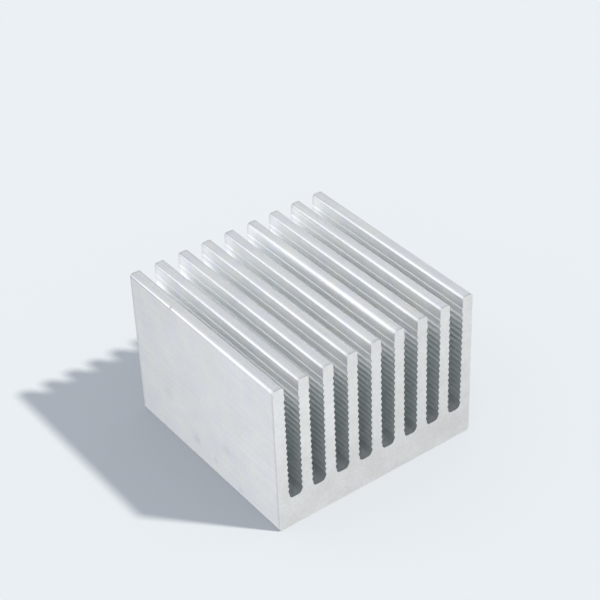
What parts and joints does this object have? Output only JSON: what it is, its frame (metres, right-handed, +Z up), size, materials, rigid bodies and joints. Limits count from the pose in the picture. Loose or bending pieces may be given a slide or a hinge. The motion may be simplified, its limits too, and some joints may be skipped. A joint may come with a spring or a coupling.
{
  "type": "heat sink",
  "caption": "Extruded aluminium heat sink with straight parallel fins, finely grooved on their inner walls, on a thick flat base.",
  "frame": {"origin": "centre of the underside of the base, which lies on Z = 0", "axes": "+X across the fins, +Y along the fins and the extrusion, +Z up from the base to the fin tops"},
  "size_m": [0.045, 0.045, 0.0322],
  "materials": {
    "mill_aluminium": "mill finish extrusion with sawn ends"
  },
  "bodies": {
    "root": {"heat_sink": "mill_aluminium"}
  },
  "joints": []
}
